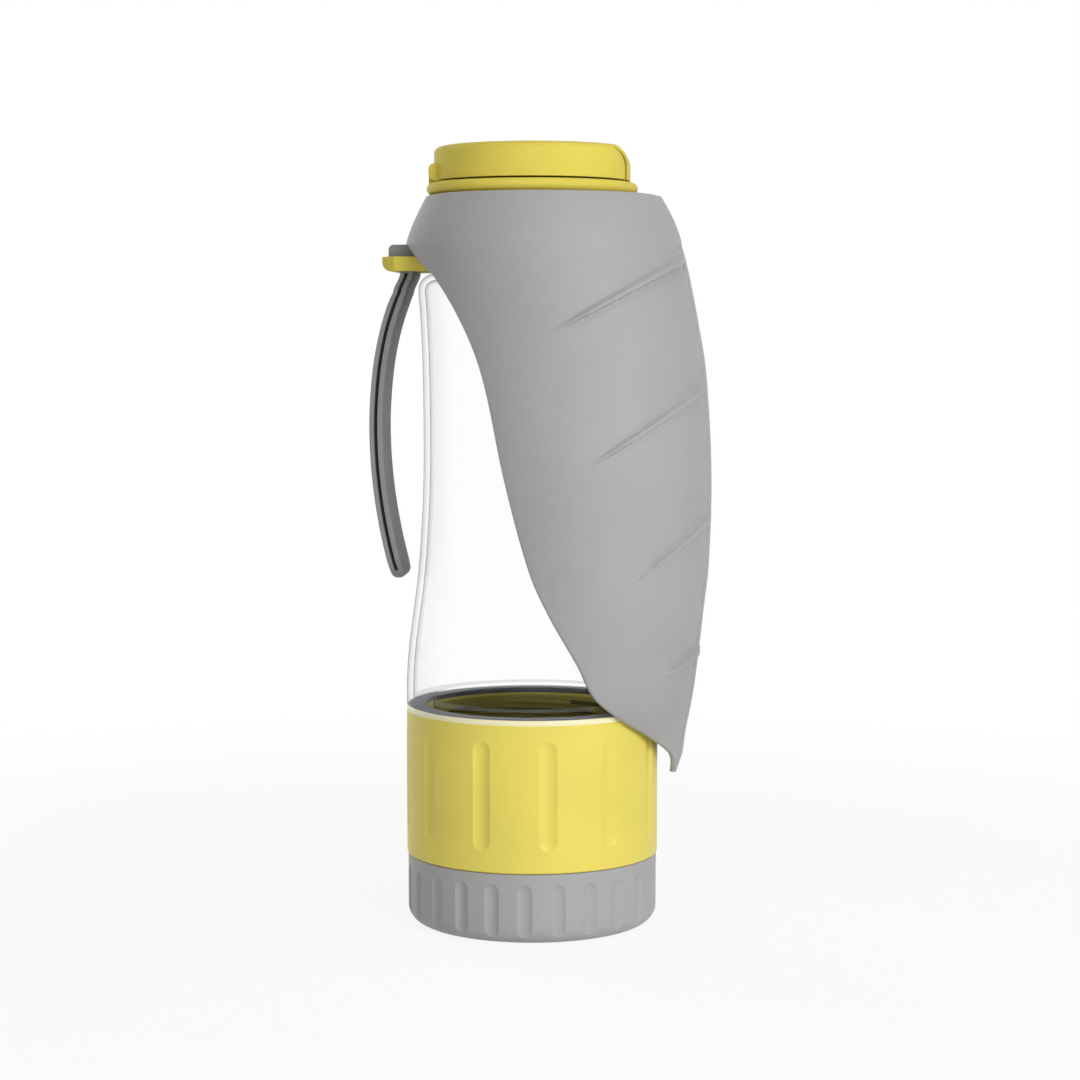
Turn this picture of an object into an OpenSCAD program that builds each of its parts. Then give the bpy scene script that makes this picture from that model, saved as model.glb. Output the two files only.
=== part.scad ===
// Travel bottle for walking a dog: a clear water bottle over a food container,
// with a silicone leaf that hangs round the bottle and flips up as a drinking bowl.
// The bottle's axis is Z. The base stands on Z = 0, the leaf's midrib is at +X and the hand strap at -X.

/* [Body] */
// Outer radius of the food container and of the bottle's foot
body_r = 35.2; // [32:0.1:38]
// Height of the grey base cap
base_h = 19.6; // [17:0.2:23]
// Height of the yellow container between the base cap and the seal
container_h = 40.3; // [34:0.5:50]
// Wall of the moulded container parts
wall = 2.0; // [1.6:0.1:2.4]
// Thickness of the flat silicone seals
seal_t = 1.5; // [1.2:0.1:1.8]
// Rounding of the base cap's bottom edge
base_edge_r = 4.5; // [3:0.5:5.5]
// Radius by which the base cap is smaller than the container
base_step = 0.3; // [0.1:0.1:0.6]
// Depth to which the screw spigots enter the piece below
spigot_h = 11; // [9:0.5:13]

/* [Flutes] */
// Number of flutes round the container
container_flutes = 12; // [8:1:16]
// Number of flutes round the base cap
base_flutes = 24; // [12:1:30]
// Width of a container flute at the surface
container_flute_w = 5.3; // [4:0.1:6.5]
// Width of a base flute at the surface
base_flute_w = 4.3; // [3:0.1:5]
// Depth of every flute
flute_depth = 0.7; // [0.4:0.1:0.9]
// Plain height below and above a container flute
flute_margin = 6; // [4:0.5:8]
// Turn of the container flutes about the axis, in degrees
container_flute_turn = -79; // [-90:1:-60]
// Turn of the base flutes about the axis, in degrees
base_flute_turn = -89.4; // [-97:0.2:-82]

/* [Bottle] */
// Height of the clear bottle from its foot to the start of the shoulder
bottle_h = 115; // [100:1:130]
// Outer radius at the waist
waist_r = 30.25; // [29.6:0.05:31]
// Outer radius at the shoulder
shoulder_r = 31.6; // [31.2:0.1:32.2]
// Height of the rounded shoulder
shoulder_h = 4.7; // [4:0.1:5.5]
// Wall of the clear bottle
bottle_wall = 1.8; // [1.4:0.1:2.2]
// Outer radius of the neck
neck_r = 24.4; // [23.8:0.1:24.8]
// Height of the neck above the shoulder
neck_h = 17.5; // [16:0.5:19]

/* [Cap] */
// Radius of the cap's flange
flange_r = 29.2; // [28.8:0.1:30]
// Thickness of the cap's flange
flange_t = 3.2; // [2.8:0.1:3.6]
// Wall of the cap's skirt
skirt_wall = 2.0; // [1.6:0.1:2.2]
// Free space for the screw thread between neck and skirt
thread_space = 1.2; // [1:0.1:1.4]
// Inner radius of the pouring spout
spout_r = 6.5; // [5:0.25:7.5]
// Height of the spout above the flange
spout_h = 4.6; // [3.5:0.1:5]
// Distance of the spout from the bottle's axis
spout_x = 8; // [4:0.5:9]
// Outer radius of the insert that hangs in the neck
insert_r = 20.5; // [19:0.25:20.75]
// Depth of the insert below the ring
insert_drop = 10; // [7:0.5:12]
// Radius of the silicone valve under the insert
valve_r = 17; // [15:0.5:18]
// Height of the silicone valve
valve_h = 5.6; // [4.5:0.1:7]

/* [Lid] */
// Radius of the flip lid
lid_r = 27.15; // [26.5:0.05:27.6]
// Height of the flip lid
lid_h = 9.9; // [9:0.1:11]
// Gap between the lid and the flange
lid_gap = 0.55; // [0.3:0.05:0.8]
// Wall of the lid
lid_wall = 1.8; // [1.4:0.1:2.2]
// Radius of the rounded lip that the thumb lifts
lid_lip_r = 6.5; // [4.5:0.5:7]
// Radius of the hinge knuckle
knuckle_r = 2.9; // [2.6:0.1:3.1]
// Width of the hinge knuckle
knuckle_w = 10; // [7:0.5:12]
// Radius of the hinge pin
pin_r = 1.1; // [0.9:0.05:1.3]
// Length of the hinge pin
pin_len = 19; // [16:0.5:21]

/* [Leaf] */
// Height from the collar's lower edge to the leaf's tip
leaf_len = 146.5; // [135:0.5:147]
// How far the midrib stands out from the container at its widest
leaf_bulge = 13.9; // [13.5:0.1:17]
// Free space between the container and the leaf's rounded cross-section
leaf_clear = 3.2; // [2.9:0.1:4.5]
// Width from the midrib to the edge, measured round the curve, just under the collar
leaf_half_w = 96; // [88:0.5:98]
// Thickness of the silicone sheet
leaf_t = 1.5; // [1.2:0.1:1.7]
// Half width of the stiff middle strip
spine_half_w = 10; // [8:0.5:12]
// Height of the midrib and the veins above the sheet
vein_h = 0.9; // [0.5:0.1:1.1]
// Width of the midrib
midrib_w = 3.4; // [2.4:0.2:4.4]
// Width of a vein where it leaves the midrib
vein_w = 2.8; // [2:0.1:3.2]
// Height of the collar that grips the cap
collar_h = 13.5; // [12:0.5:15]

/* [Strap] */
// Thickness of the ring that carries the strap
ring_t = 4; // [3.4:0.1:4.4]
// Outer radius of that ring
ring_r = 31.4; // [30.8:0.1:31.8]
// Distance from the axis to the end of its tab
tab_reach = 40.8; // [40:0.2:43]
// Width of the tab
tab_w = 25; // [23:0.5:28]
// Width of the strap
strap_w = 19; // [15:0.5:20]
// Length of the free loop
strap_len = 79; // [70:1:85]
// Bow of the loop's outer layer
strap_bow = 7.7; // [6:0.1:9]
// Thickness of the outer layer
strap_outer_t = 1.2; // [1:0.1:1.4]
// Thickness of the inner layer
strap_inner_t = 1.4; // [1.2:0.1:1.6]
// Slit between the two layers
strap_slit = 1; // [0.8:0.1:1.2]
// Height of the head that keeps the strap in the tab
strap_head_h = 3.3; // [2.6:0.1:3.6]

/* [Hidden] */

// Overrun of every cut, clearance between separate pieces, running fit of the hinge pin
cut = 1;
gap = 0.3;
fit = 0.05;
facets = 96;
profile_steps = 20;
quarter_steps = 8;
strap_steps = 18;

yellow = [0.91, 0.85, 0.42];
grey = [0.64, 0.64, 0.64];
dark_grey = [0.36, 0.37, 0.38];
clear = [0.85, 0.9, 0.92, 0.4];
steel = [0.75, 0.75, 0.76];

// Levels, each from the piece below
ring_gap = 0.5;
insert_flange_t = 2.6;
plug_flange_t = 1.4;
plug_dip = 2.2;
base_seal_z = wall;
container_z = base_h;
rim_z = container_z + container_h;
foot_z = rim_z + seal_t;
shoulder_z = foot_z + bottle_h;
neck_z = shoulder_z + shoulder_h;
neck_top_z = neck_z + neck_h;
ring_z = neck_z + ring_gap;
insert_top_z = neck_top_z + seal_t;
insert_floor_z = ring_z - insert_drop;
flange_z = insert_top_z + insert_flange_t;
flange_top_z = flange_z + flange_t;
lid_z = flange_top_z + lid_gap;
lid_top_z = lid_z + lid_h;
plug_top_z = flange_top_z + spout_h + gap + plug_flange_t;
collar_z = flange_z - gap - collar_h;

// Radii that follow from the fits
screw_gap = 0.6;
valve_wall = 1.7;
joint_edge_r = 0.5;
base_r = body_r - base_step;
spigot_r = base_r - wall - screw_gap;
mouth_r = spigot_r - wall;
foot_spigot_r = mouth_r - screw_gap;
skirt_in_r = neck_r + thread_space;
skirt_r = skirt_in_r + skirt_wall;
neck_in_r = insert_r + gap + screw_gap;
skirt_step_share = 0.35;
skirt_foot_r = skirt_in_r + skirt_wall * (1 - skirt_step_share);

// Plain height above a base flute, and above a container flute as a share of flute_margin
base_flute_margin = 3;
flute_top_share = 0.75;

// Shape of the bottle wall: height of the waist, then shares of the way from the foot to the waist
waist_share = 0.6;
waist_shares = [[0, 0], [0.1, 0.005], [0.22, 0.12], [0.35, 0.35], [0.46, 0.56],
    [0.56, 0.71], [0.7, 0.85], [0.85, 0.96], [1, 1]];

// Farthest reach of the midrib from the axis, and radius of the leaf's cross-section
leaf_reach = body_r + leaf_bulge;
leaf_section_r = body_r + leaf_clear;

// Shape of the leaf from collar to tip: share of its length, then shares of the reach,
// of the section radius and of the half width
leaf_shares = [
    [0, 0.827, 0.984, 1.13],
    [0.03, 0.852, 0.985, 1.06],
    [0.06, 0.873, 0.987, 0.985],
    [0.14, 0.92, 0.997, 0.905],
    [0.24, 0.968, 1, 0.857],
    [0.43, 1, 0.984, 0.8],
    [0.6, 0.988, 0.95, 0.709],
    [0.68, 0.962, 0.925, 0.632],
    [0.77, 0.932, 0.886, 0.529],
    [0.83, 0.91, 0.862, 0.466],
    [0.87, 0.89, 0.789, 0.376],
    [0.92, 0.861, 0.583, 0.222],
    [0.96, 0.845, 0.39, 0.108],
    [1, 0.817, 0.27, 0.0125]];
leaf_rows_shares = [0, 0.015, 0.03, 0.06, 0.1, 0.14, 0.19, 0.24, 0.3, 0.36, 0.43, 0.5, 0.55, 0.6,
    0.64, 0.68, 0.725, 0.77, 0.8, 0.83, 0.85, 0.87, 0.895, 0.92, 0.94, 0.955];
tip_rows_shares = [0.97, 0.985, 1];
spine_columns = 9;
lobe_columns = 16;

// Cross-section of a midrib or vein, in shares of its half width and of its height
ridge_shares = [[-1, -0.6], [-0.7, 0.62], [0, 1], [0.7, 0.62], [1, -0.6]];

// Veins of one side: share of the length where each starts, where it ends,
// and share of the half width that it reaches
vein_shares = [[0.022, 0.1685, 0.72], [0.259, 0.41, 0.7], [0.507, 0.619, 0.595], [0.7645, 0.799, 0.5]];
vein_steps = 10;
vein_taper_share = 0.9;
vein_slant_share = 0.35;
vein_straight_share = 0.8;
midrib_width_share = 1.6;
midrib_end_share = 0.3;

// Hinge of the leaf, just outside the sheet under the collar
leaf_top_z = collar_z - gap;
leaf_root_gap = 1;
leaf_knuckle_share = 0.8;
leaf_pin_share = 0.6;
leaf_pin_r = leaf_t * leaf_pin_share;
leaf_hinge_x = leaf_reach * leaf_shares[0][1] + leaf_pin_r / 2;
leaf_hinge_z = leaf_top_z - leaf_root_gap;
leaf_relief_r = 2.6;

// Hinge of the lid, its knuckle standing a little past the lid's edge
knuckle_step = 1.05;
lid_hinge_x = -(lid_r + knuckle_step - knuckle_r);
lid_hinge_z = flange_top_z + knuckle_r - gap;

// Strap places
strap_t = strap_outer_t + strap_slit + strap_inner_t;
strap_pivot_share = 0.995;
strap_pivot_x = -(ring_r + strap_t * strap_pivot_share);
strap_pivot_z = shoulder_z - 3 * gap;
strap_root_r = strap_t / 2;
slot_step = 2.5;
slot_x = -(ring_r + slot_step);

// Where the loop bows out most, and how fast the bow falls above and below that place
bow_peak_share = 0.46;
bow_upper_share = 0.46;
bow_lower_share = 0.6;

function slope(table, c, i) =
    let (a = max(i - 1, 0), b = min(i + 1, len(table) - 1))
    (table[b][c] - table[a][c]) / (table[b][0] - table[a][0]);
function span(table, t, i = 0) =
    (i >= len(table) - 2 || t < table[i + 1][0]) ? i : span(table, t, i + 1);
// A smooth curve through column c of a table of shares
function smooth(table, c, t) =
    let (i = span(table, t),
        h = table[i + 1][0] - table[i][0],
        u = (t - table[i][0]) / h)
    (2 * pow(u, 3) - 3 * pow(u, 2) + 1) * table[i][c]
    + (pow(u, 3) - 2 * pow(u, 2) + u) * h * slope(table, c, i)
    + (3 * pow(u, 2) - 2 * pow(u, 3)) * table[i + 1][c]
    + (pow(u, 3) - pow(u, 2)) * h * slope(table, c, i + 1);

// Outer radius of the bottle wall at share u of its height
function bottle_r(u) =
    u < waist_share
    ? body_r - (body_r - waist_r) * smooth(waist_shares, 1, u / waist_share)
    : waist_r + (shoulder_r - waist_r) * pow((u - waist_share) / (1 - waist_share), 3);

// Points of a quarter round, from the angle a to a + 90
function quarter(x, y, r, a) =
    [for (i = [0 : quarter_steps])
        let (b = a + 90 * i / quarter_steps)
        [x + r * cos(b), y + r * sin(b)]];

// Outline of the bottle between foot and neck, drawn in by inset
function bottle_outline(inset) = concat(
    [for (i = [0 : profile_steps])
        [bottle_r(i / profile_steps) - inset, foot_z + bottle_h * i / profile_steps]],
    [for (i = [1 : quarter_steps])
        [shoulder_r - inset - (shoulder_h - inset) * (1 - cos(90 * i / quarter_steps)),
        shoulder_z + (shoulder_h - inset) * sin(90 * i / quarter_steps)]]);

// The leaf's surface: t runs from collar to tip, s is the distance from the midrib round the curve
function leaf_z(t) = leaf_top_z - leaf_len * t;
function midrib_x(t) = leaf_reach * smooth(leaf_shares, 1, t);
function section_r(t) = leaf_section_r * smooth(leaf_shares, 2, t);
function half_w(t) = leaf_half_w * smooth(leaf_shares, 3, t);
function leaf_point(t, s, out) =
    let (r = section_r(t), a = s / r * 180 / PI)
    [midrib_x(t) - r + (r + out) * cos(a), (r + out) * sin(a), leaf_z(t)];

// A closed sheet from two grids of points, outer then inner, with rows x columns points each
module sheet(outer, inner, rows, columns) {
    n = rows * columns;
    polyhedron(
        points = concat(outer, inner),
        faces = concat(
            [for (i = [0 : rows - 2]) for (j = [0 : columns - 2]) for (f = [
                [i * columns + j, (i + 1) * columns + j + 1, (i + 1) * columns + j],
                [i * columns + j, i * columns + j + 1, (i + 1) * columns + j + 1],
                [n + i * columns + j, n + (i + 1) * columns + j, n + (i + 1) * columns + j + 1],
                [n + i * columns + j, n + (i + 1) * columns + j + 1, n + i * columns + j + 1]]) f],
            [for (i = [0 : rows - 2]) for (f = [
                [i * columns, (i + 1) * columns, n + (i + 1) * columns],
                [i * columns, n + (i + 1) * columns, n + i * columns],
                [(i + 1) * columns - 1, n + (i + 2) * columns - 1, (i + 2) * columns - 1],
                [(i + 1) * columns - 1, n + (i + 1) * columns - 1, n + (i + 2) * columns - 1]]) f],
            [for (j = [0 : columns - 2]) for (f = [
                [j, n + j + 1, j + 1],
                [j, n + j, n + j + 1],
                [n - columns + j, n - columns + j + 1, 2 * n - columns + j + 1],
                [n - columns + j, 2 * n - columns + j + 1, 2 * n - columns + j]]) f]),
        convexity = 8);
}

// One panel of the leaf between two distances from the midrib, each given as a list by row
module leaf_panel(ts, from, to, columns) {
    function at(i, j, out) = leaf_point(ts[i], from[i] + (to[i] - from[i]) * j / (columns - 1), out);
    sheet(
        [for (i = [0 : len(ts) - 1]) for (j = [0 : columns - 1]) at(i, j, 0)],
        [for (i = [0 : len(ts) - 1]) for (j = [0 : columns - 1]) at(i, j, -leaf_t)],
        len(ts), columns);
}

// A rounded ridge on the outside of the leaf along a list of [t, s, width, height,
// share of the width that counts along t, share that counts along s]
module ridge(path, side) {
    n = len(ridge_shares);
    m = len(path);
    function at(p, q) = leaf_point(
        p[0] + p[4] * q[0] * p[2] / 2 / leaf_len,
        side * (p[1] + p[5] * q[0] * p[2] / 2), p[3] * q[1]);
    points = [for (p = path) for (q = ridge_shares) at(p, q)];
    faces = concat(
        [for (i = [0 : m - 2]) for (j = [0 : n - 1]) for (f = [
            [i * n + j, (i + 1) * n + (j + 1) % n, (i + 1) * n + j],
            [i * n + j, i * n + (j + 1) % n, (i + 1) * n + (j + 1) % n]]) f],
        [for (j = [1 : n - 2]) [0, j + 1, j]],
        [for (j = [1 : n - 2]) [(m - 1) * n, (m - 1) * n + j, (m - 1) * n + j + 1]]);
    turned = [for (f = faces) [f[2], f[1], f[0]]];
    polyhedron(points = points, faces = side > 0 ? turned : faces, convexity = 4);
}

// The stretch of vein v between two distances from the midrib. It falls with the depth of the
// rounded sheet, so that it looks nearly straight from the side
function vein_path(v, from, to) =
    let (reach = half_w(v[1]) * v[2],
        last = min(to, reach),
        end_a = reach / section_r(v[1]) * 180 / PI)
    [for (i = [0 : vein_steps])
        let (s = from + (last - from) * i / vein_steps,
            u = s / reach,
            round_share = (1 - cos(end_a * u)) / (1 - cos(end_a)),
            fall = u + (round_share - u) * vein_straight_share,
            taper = 1 - pow(u, 2) * vein_taper_share)
        [v[0] + (v[1] - v[0]) * fall, s, vein_w * taper, vein_h * taper, 1, vein_slant_share]];

module leaf_veins(from, to, side) {
    for (v = vein_shares) {
        if (from < half_w(v[1]) * v[2]) {
            ridge(vein_path(v, from, to), side);
        }
    }
}

// One lobe of the leaf, side -1 towards -Y and 1 towards +Y
module leaf_lobe(side) {
    from = spine_half_w + gap;
    mirror([0, side > 0 ? 1 : 0, 0]) {
        leaf_panel(leaf_rows_shares,
            [for (t = leaf_rows_shares) -max(half_w(t), from + gap)],
            [for (t = leaf_rows_shares) -from], lobe_columns);
        leaf_veins(from + vein_w / 4, leaf_half_w, -1);
    }
}

module disc(r, h, z) {
    translate([0, 0, z])
        cylinder(h = h, r = r, $fn = facets);
}

module tube(r, hole_r, h, z) {
    difference() {
        disc(r, h, z);
        disc(hole_r, h + 2 * cut, z - cut);
    }
}

// Round-ended cutter for one flute: a capsule that dips flute_depth into radius r
module flute_cutter(r, w, z0, z1) {
    cutter_r = (pow(w / 2, 2) + pow(flute_depth, 2)) / (2 * flute_depth);
    translate([r - flute_depth + cutter_r, 0, 0]) {
        translate([0, 0, z0 + w / 2])
            cylinder(h = z1 - z0 - w, r = cutter_r, $fn = facets);
        for (z = [z0 + w / 2, z1 - w / 2]) {
            translate([0, 0, z])
                sphere(r = cutter_r, $fn = facets);
        }
    }
}

module base_cap() {
    color(grey)
        difference() {
            rotate_extrude($fn = facets)
                polygon(concat(
                    [[0, 0]],
                    quarter(base_r - base_edge_r, base_edge_r, base_edge_r, -90),
                    quarter(base_r - joint_edge_r, base_h - gap / 2 - joint_edge_r, joint_edge_r, 0),
                    [[base_r - wall, base_h - gap / 2], [base_r - wall, base_seal_z], [0, base_seal_z]]));
            for (i = [0 : base_flutes - 1]) {
                rotate([0, 0, base_flute_turn + 360 * i / base_flutes])
                    flute_cutter(base_r, base_flute_w, -base_h, base_h - base_flute_margin);
            }
        }
}

module base_seal() {
    color(dark_grey)
        tube(spigot_r, mouth_r - wall / 2, seal_t, base_seal_z);
}

module food_container() {
    color(yellow)
        difference() {
            rotate_extrude($fn = facets)
                polygon(concat(
                    [[mouth_r, base_seal_z + seal_t], [spigot_r, base_seal_z + seal_t],
                    [spigot_r, container_z]],
                    quarter(body_r - joint_edge_r, container_z + joint_edge_r, joint_edge_r, -90),
                    quarter(body_r - joint_edge_r, rim_z - joint_edge_r, joint_edge_r, 0),
                    [[mouth_r, rim_z]]));
            for (i = [0 : container_flutes - 1]) {
                rotate([0, 0, container_flute_turn + 360 * i / container_flutes])
                    flute_cutter(body_r, container_flute_w, container_z + flute_margin,
                        rim_z - flute_margin * flute_top_share);
            }
        }
}

module container_seal() {
    color(dark_grey)
        tube(body_r - gap, foot_spigot_r + fit, seal_t, rim_z);
}

module bottle() {
    outer = bottle_outline(0);
    inner = bottle_outline(bottle_wall);
    spigot_in_r = foot_spigot_r - wall;
    low_z = rim_z - spigot_h;
    step_z = foot_z + bottle_wall;
    color(clear)
        rotate_extrude($fn = facets)
            polygon(concat(
                [[0, low_z], [foot_spigot_r, low_z], [foot_spigot_r, foot_z]],
                outer,
                [[neck_r, neck_z], [neck_r, neck_top_z], [neck_in_r, neck_top_z],
                [neck_in_r, neck_z - bottle_wall]],
                [for (i = [len(inner) - 1 : -1 : 0])
                    if (inner[i][1] > step_z && inner[i][0] >= neck_in_r) inner[i]],
                [[body_r - bottle_wall, step_z], [spigot_in_r, step_z], [spigot_in_r, low_z + wall],
                [0, low_z + wall]]));
}

module cap_gasket() {
    color(dark_grey)
        tube(neck_r - gap, neck_in_r - gap, seal_t, neck_top_z);
}

// Solid of the cap's flange with its half-round rim
module flange_body() {
    edge_r = flange_t / 2;
    rotate_extrude($fn = facets)
        polygon(concat(
            [[0, flange_z]],
            quarter(flange_r - edge_r, flange_z + edge_r, edge_r, -90),
            quarter(flange_r - edge_r, flange_top_z - edge_r, edge_r, 0),
            [[0, flange_top_z]]));
}

module screw_cap() {
    color(yellow)
        difference() {
            union() {
                flange_body();
                tube(skirt_foot_r, skirt_in_r, flange_z - ring_z + cut / 2, ring_z);
                tube(skirt_r, skirt_in_r, flange_z - ring_z - ring_t, ring_z + ring_t);
                translate([spout_x, 0, flange_top_z - cut / 2])
                    cylinder(h = spout_h + cut / 2, r = spout_r + skirt_wall, $fn = facets);
                translate([lid_hinge_x, knuckle_w / 2, lid_hinge_z])
                    rotate([90, 0, 0])
                        cylinder(h = knuckle_w, r = knuckle_r, $fn = facets);
                translate([lid_hinge_x - knuckle_r, -knuckle_w / 2, flange_z + flange_t / 2])
                    cube([2 * knuckle_r, knuckle_w, lid_hinge_z - flange_z - flange_t / 2]);
            }
            translate([spout_x, 0, flange_z - cut])
                cylinder(h = flange_t + spout_h + 2 * cut, r = spout_r, $fn = facets);
            translate([lid_hinge_x, knuckle_w / 2 + cut, lid_hinge_z])
                rotate([90, 0, 0])
                    cylinder(h = knuckle_w + 2 * cut, r = pin_r, $fn = facets);
        }
}

module flow_insert() {
    stub_share = 0.6;
    stub_h = valve_h * stub_share;
    ports = 6;
    port_r = 3.4;
    color(dark_grey)
        difference() {
            union() {
                disc(neck_r - gap, insert_flange_t, insert_top_z);
                disc(insert_r, insert_top_z - insert_floor_z, insert_floor_z);
                tube(valve_r - valve_wall, valve_r - 2 * valve_wall, stub_h, insert_floor_z - stub_h);
            }
            disc(insert_r - valve_wall, flange_z - insert_floor_z, insert_floor_z + valve_wall);
            for (i = [0 : ports - 1]) {
                rotate([0, 0, 360 * i / ports])
                    translate([valve_r / 2, 0, insert_floor_z - cut])
                        cylinder(h = valve_wall + 2 * cut, r = port_r, $fn = facets);
            }
        }
}

module insert_valve() {
    bottom_z = insert_floor_z - valve_h;
    slot_share = 1.1;
    slot_len = valve_r * slot_share;
    slot_w = 1.2;
    color(dark_grey)
        difference() {
            disc(valve_r, valve_h, bottom_z);
            disc(valve_r - valve_wall + fit, valve_h, bottom_z + valve_wall);
            for (a = [0, 90]) {
                rotate([0, 0, a])
                    translate([-slot_len / 2, -slot_w / 2, bottom_z - cut])
                        cube([slot_len, slot_w, valve_wall + 2 * cut]);
            }
        }
}

module lid() {
    dome = 0.6;
    edge_r = 1.8;
    edge_z = lid_top_z - dome;
    inner_h = lid_h - dome - lid_wall;
    slot_r = knuckle_r + gap;
    slot_w = knuckle_w + 2 * gap;
    color(yellow)
        difference() {
            union() {
                difference() {
                    rotate_extrude($fn = facets)
                        polygon(concat(
                            [[0, lid_z], [lid_r, lid_z]],
                            quarter(lid_r - edge_r, edge_z - edge_r, edge_r, 0),
                            [[lid_r / 2, lid_top_z - dome / 4], [0, lid_top_z]]));
                    disc(lid_r - lid_wall, inner_h + cut, lid_z - cut);
                }
                intersection() {
                    translate([lid_hinge_x - knuckle_r, -pin_len / 2, lid_z])
                        cube([2 * knuckle_r + lid_wall, pin_len, inner_h + gap]);
                    disc(lid_r - gap, lid_h, lid_z);
                }
                translate([spout_x, 0, plug_top_z])
                    cylinder(h = edge_z - lid_wall - plug_top_z + gap, r = spout_r, $fn = facets);
            }
            // rounded lip on the side of the leaf
            difference() {
                translate([lid_r - lid_lip_r, -lid_r, lid_top_z - lid_lip_r])
                    cube([lid_lip_r + cut, 2 * lid_r, lid_lip_r + cut]);
                translate([lid_r - lid_lip_r, lid_r + cut, lid_top_z - lid_lip_r])
                    rotate([90, 0, 0])
                        cylinder(h = 2 * lid_r + 2 * cut, r = lid_lip_r, $fn = facets);
            }
            // slot for the cap's knuckle, open below and behind
            translate([lid_hinge_x, slot_w / 2, lid_hinge_z])
                rotate([90, 0, 0])
                    cylinder(h = slot_w, r = slot_r, $fn = facets);
            translate([lid_hinge_x - slot_r - cut, -slot_w / 2, lid_z - cut])
                cube([2 * slot_r + cut, slot_w, lid_hinge_z - lid_z + cut]);
            translate([lid_hinge_x - slot_r - cut, -slot_w / 2, lid_hinge_z - cut])
                cube([slot_r + cut, slot_w, slot_r + cut]);
            translate([lid_hinge_x, pin_len / 2 + cut, lid_hinge_z])
                rotate([90, 0, 0])
                    cylinder(h = pin_len + 2 * cut, r = pin_r + fit, $fn = facets);
        }
}

module lid_pin() {
    color(steel)
        translate([lid_hinge_x, pin_len / 2, lid_hinge_z])
            rotate([90, 0, 0])
                cylinder(h = pin_len, r = pin_r, $fn = facets);
}

module lid_plug() {
    cover_share = 0.8;
    color(dark_grey)
        translate([spout_x, 0, plug_top_z - plug_flange_t]) {
            cylinder(h = plug_flange_t, r = spout_r + skirt_wall * cover_share, $fn = facets);
            translate([0, 0, -plug_dip])
                cylinder(h = plug_dip, r1 = spout_r - 3 * gap, r2 = spout_r - gap, $fn = facets);
        }
}

// Flat ring with its tab; the slot takes the strap
module strap_ring() {
    corner_r = 2.6;
    color(yellow)
        difference() {
            union() {
                disc(ring_r, ring_t, ring_z);
                difference() {
                    translate([-tab_reach, -tab_w / 2, ring_z])
                        cube([tab_reach, tab_w, ring_t]);
                    difference() {
                        translate([-tab_reach - cut, -tab_w, ring_z - cut])
                            cube([corner_r + cut, 2 * tab_w, corner_r + cut]);
                        translate([-tab_reach + corner_r, tab_w, ring_z + corner_r])
                            rotate([90, 0, 0])
                                cylinder(h = 2 * tab_w, r = corner_r, $fn = facets);
                    }
                    for (side = [-1, 1]) {
                        translate([-tab_reach, side * tab_w / 2, ring_z - cut])
                            rotate([0, 0, 45])
                                translate([-corner_r, -corner_r, 0])
                                    cube([2 * corner_r, 2 * corner_r, ring_t + 2 * cut]);
                    }
                }
            }
            disc(skirt_foot_r + fit, ring_t + 2 * cut, ring_z - cut);
            translate([slot_x - strap_t / 2, -strap_w / 2 - gap, ring_z - cut])
                cube([strap_t, strap_w + 2 * gap, ring_t + 2 * cut]);
        }
}

// Head on top of the tab, with the neck that goes down through the slot
module strap_head() {
    head_t = 10;
    edge_r = 1.4;
    top_z = ring_z + ring_t + strap_head_h;
    neck_t = strap_t - 2 * gap;
    neck_end_z = strap_pivot_z + strap_root_r + 3 * gap;
    color(grey)
        translate([0, strap_w / 2, 0])
            rotate([90, 0, 0])
                linear_extrude(strap_w)
                    polygon(concat(
                        [[slot_x + head_t / 2, ring_z + ring_t]],
                        quarter(slot_x + head_t / 2 - edge_r, top_z - edge_r, edge_r, 0),
                        quarter(slot_x - head_t / 2 + edge_r, top_z - edge_r, edge_r, 90),
                        [[slot_x - head_t / 2, ring_z + ring_t], [slot_x - neck_t / 2, ring_z + ring_t],
                        [slot_x - neck_t / 2, ring_z], [strap_pivot_x - neck_t / 2 + gap, neck_end_z],
                        [strap_pivot_x + neck_t / 2 - gap, neck_end_z], [slot_x + neck_t / 2, ring_z],
                        [slot_x + neck_t / 2, ring_z + ring_t]]));
}

// Point of the loop at share u of its length, offset in from its outer face
function bow_share(u) = (u - bow_peak_share) / (u < bow_peak_share ? bow_upper_share : bow_lower_share);
function strap_x(u) = strap_pivot_x - strap_root_r - strap_bow * (1 - pow(bow_share(u), 2));
function strap_point(u, inset) =
    let (step = 0.01, tilt = atan((strap_x(u + step) - strap_x(u - step)) / (2 * step * strap_len)))
    [strap_x(u) + inset * cos(tilt), strap_pivot_z - strap_len * u + inset * sin(tilt)];

module strap_loop() {
    end_share = 1 - strap_root_r / strap_len;
    us = [for (i = [0 : strap_steps]) end_share * i / strap_steps];
    slit = [for (i = [2 : strap_steps]) us[i]];
    end = strap_point(end_share, strap_root_r);
    color(grey)
        translate([0, strap_w / 2, 0])
            rotate([90, 0, 0])
                linear_extrude(strap_w)
                    difference() {
                        union() {
                            polygon(concat(
                                [for (u = us) strap_point(u, 0)],
                                [for (i = [strap_steps : -1 : 1]) strap_point(us[i], strap_t)]));
                            translate([strap_pivot_x, strap_pivot_z])
                                circle(r = strap_root_r, $fn = facets);
                            translate(end)
                                circle(r = strap_root_r, $fn = facets);
                        }
                        polygon(concat(
                            [for (u = slit) strap_point(u, strap_outer_t)],
                            [for (i = [len(slit) - 1 : -1 : 0])
                                strap_point(slit[i], strap_outer_t + strap_slit)]));
                    }
}

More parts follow.
